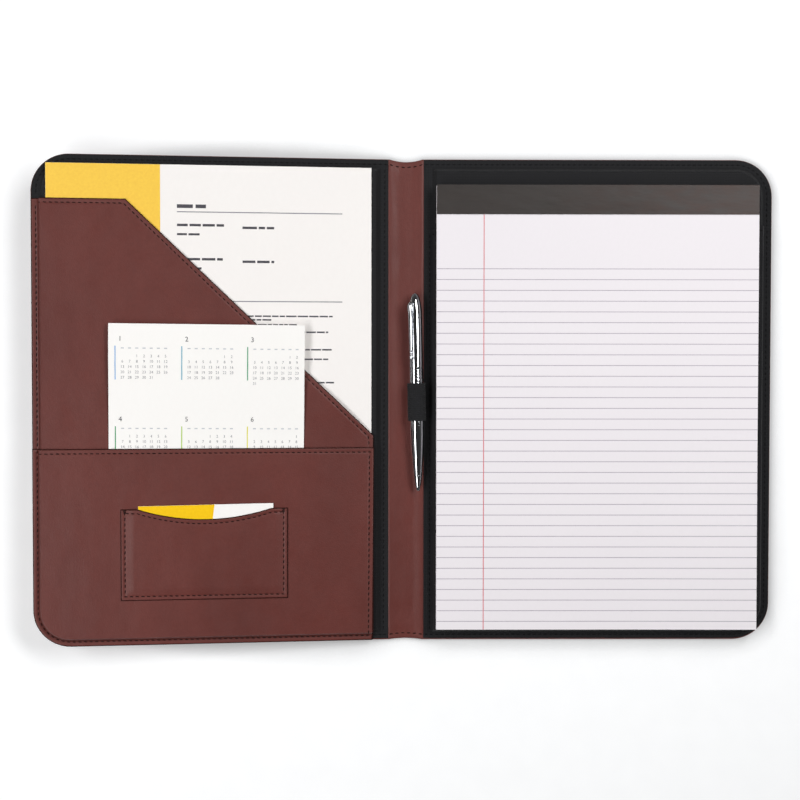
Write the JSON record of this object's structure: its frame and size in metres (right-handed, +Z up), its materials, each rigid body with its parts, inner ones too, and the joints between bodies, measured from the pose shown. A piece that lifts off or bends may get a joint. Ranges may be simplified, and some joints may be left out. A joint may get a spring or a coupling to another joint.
{
  "type": "leather portfolio",
  "caption": "Open letter-size portfolio: padded covers folding on a spine, pockets with papers in front, a writing pad in a slot behind, and a twist pen in an elastic loop.",
  "frame": {"origin": "under the middle of the bounding box, on the surface that the open portfolio lies on", "axes": "+X from the front cover across the spine to the outer edge of the back cover, +Y to the top edge, +Z up"},
  "size_m": [0.494, 0.3256, 0.0332],
  "materials": {
    "outer_leather": "smooth brown bonded leather",
    "pocket_leather": "smooth brown bonded leather",
    "lining": "fine woven black lining",
    "foam": "thin padding",
    "board": "grey chipboard",
    "pad_board": "grey chipboard",
    "pad_paper": "ruled writing paper",
    "header_tape": "glossy dark binding strip",
    "letter_paper": "printed letter paper",
    "card_paper": "printed card",
    "elastic": "ribbed black elastic",
    "pen_chrome": "polished",
    "pen_brass": "plain"
  },
  "bodies": {
    "back_cover": {"back_outer_leather": "outer_leather", "back_foam": "foam", "back_board": "board", "back_lining": "lining", "pad_slot_panel": "lining"},
    "spine": {"spine_outer_leather": "outer_leather", "spine_inner_strip": "outer_leather", "pen_loop": "elastic"},
    "front_cover": {"front_outer_leather": "outer_leather", "front_foam": "foam", "front_board": "board", "front_lining": "lining", "document_pocket": "pocket_leather", "front_pocket": "pocket_leather", "card_pocket": "pocket_leather"},
    "writing_pad": {"pad_backing": "pad_board", "pad_sheets": "pad_paper", "pad_header_tape": "header_tape"},
    "top_page": {"pad_top_page": "pad_paper"},
    "letter": {"letter_sheet": "letter_paper"},
    "calendar": {"calendar_card": "card_paper"},
    "visiting_card": {"business_card": "card_paper"},
    "pen": {"pen_upper_barrel": "pen_chrome", "pen_crown": "pen_chrome", "pen_band": "pen_chrome", "pen_twist_mechanism": "pen_brass"},
    "pen_spring_clip": {"pen_clip": "pen_chrome"},
    "pen_lower_half": {"pen_lower_barrel": "pen_chrome", "pen_tip_cone": "pen_chrome"},
    "refill": {"pen_refill": "pen_brass"}
  },
  "joints": [
    {"name": "spine_fold", "type": "hinge", "parent": "back_cover", "child": "spine", "pos_m": [0.01046, 0, 0.0056], "axis": [0, 1, 0], "range_deg": [0, 90]},
    {"name": "front_cover_fold", "type": "hinge", "parent": "spine", "child": "front_cover", "pos_m": [-0.01154, 0, 0.0025], "axis": [0, 1, 0], "range_deg": [0, 84.14]},
    {"name": "pad_slide", "type": "slide", "parent": "back_cover", "child": "writing_pad", "axis": [0, 1, 0], "range_m": [0, 0.271]},
    {"name": "top_page_turn", "type": "hinge", "parent": "writing_pad", "child": "top_page", "pos_m": [0.12786, 0.12485, 0.01475], "axis": [-1, 0, 0], "range_deg": [0, 175]},
    {"name": "letter_sheet_slide", "type": "slide", "parent": "front_cover", "child": "letter", "axis": [0, 1, 0], "range_m": [0, 0.256]},
    {"name": "calendar_card_slide", "type": "slide", "parent": "front_cover", "child": "calendar", "axis": [0, 1, 0], "range_m": [0, 0.096]},
    {"name": "business_card_slide", "type": "slide", "parent": "front_cover", "child": "visiting_card", "axis": [0, 1, 0], "range_m": [0, 0.048]},
    {"name": "pen_slide", "type": "slide", "parent": "spine", "child": "pen", "axis": [-0.0187, 0.9998, 0], "range_m": [0, 0.075]},
    {"name": "clip_lift", "type": "hinge", "parent": "pen", "child": "pen_spring_clip", "pos_m": [0.00312, 0.06515, 0.01156], "axis": [-0.8479, -0.0158, -0.5299], "range_deg": [0, 2], "stiffness_Nm_per_rad": 1},
    {"name": "pen_twist", "type": "hinge", "parent": "pen", "child": "pen_lower_half", "pos_m": [0.00656, 0, 0.008], "axis": [-0.0187, 0.9998, 0], "range_deg": [0, 180]},
    {"name": "refill_advance", "type": "slide", "parent": "pen", "child": "refill", "axis": [0.0187, -0.9998, 0], "range_m": [0, 0.0035]}
  ],
  "couplings": [
    {"joint": "refill_advance", "follows": "pen_twist", "m_per_rad": 0.001114}
  ]
}
